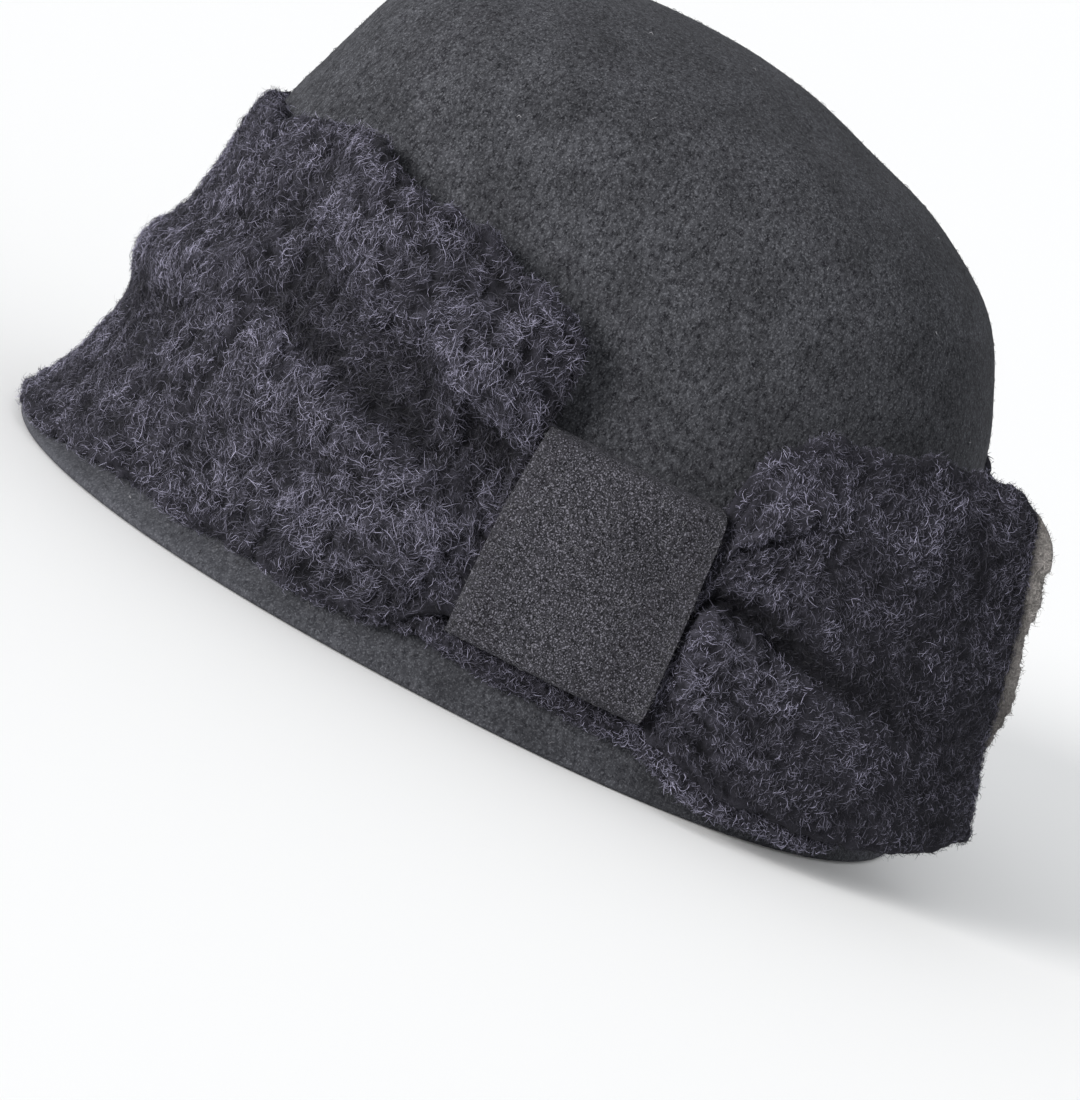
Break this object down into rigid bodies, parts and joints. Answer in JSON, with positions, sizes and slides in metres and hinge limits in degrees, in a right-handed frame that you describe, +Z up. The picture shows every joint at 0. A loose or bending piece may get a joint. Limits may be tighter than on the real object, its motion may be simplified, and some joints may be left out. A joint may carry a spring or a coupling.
{
  "type": "cloche hat",
  "caption": "Dark wool felt cloche hat with a small brim and a thick curly wool strip drawn through a flat felt loop at the left side into a free tail.",
  "frame": {"origin": "middle of the whole hat's box, on the plane the rim rests on", "axes": "+Z up; the front of the hat looks along -Y; +X is the wearer's left, where the loop is"},
  "size_m": [0.2012, 0.2448, 0.152],
  "materials": {
    "body_felt": "charcoal wool felt with a short brushed nap",
    "strip_wool": "thick curly boiled wool, blue-black with paler fibre tips",
    "loop_felt": "fine dense felt, matte, charcoal"
  },
  "bodies": {
    "root": {"felt_body": "body_felt", "wool_strip": "strip_wool", "felt_loop": "loop_felt"}
  },
  "joints": []
}
